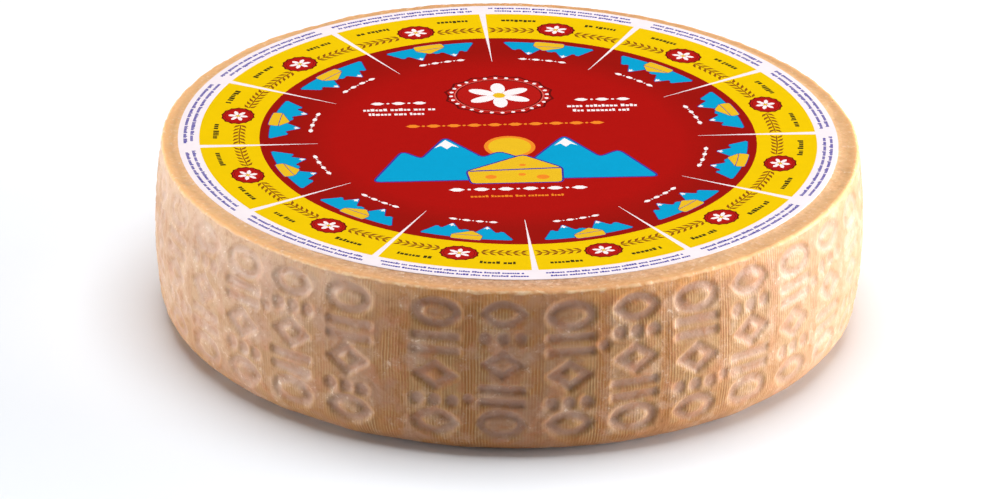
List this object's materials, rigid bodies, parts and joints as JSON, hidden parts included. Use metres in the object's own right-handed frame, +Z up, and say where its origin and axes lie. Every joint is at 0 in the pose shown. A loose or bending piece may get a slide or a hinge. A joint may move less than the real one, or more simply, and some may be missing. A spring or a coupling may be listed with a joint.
{
  "type": "cheese wheel",
  "caption": "Low round wheel of hard cheese with a bulging, stamped rind and a round printed paper label on its upper face.",
  "frame": {"origin": "middle of the flat underside that the wheel rests on", "axes": "+Z up through the middle of the wheel, -Y towards the side that the picture shows, +X to its right"},
  "size_m": [0.2897, 0.2902, 0.075],
  "materials": {
    "rind": "natural dry rind with a faint oily sheen, ribbed on the side",
    "label_paper": "printed paper, satin, red with a yellow and a white ring"
  },
  "bodies": {
    "root": {"cheese_wheel": "rind", "label": "label_paper"}
  },
  "joints": []
}
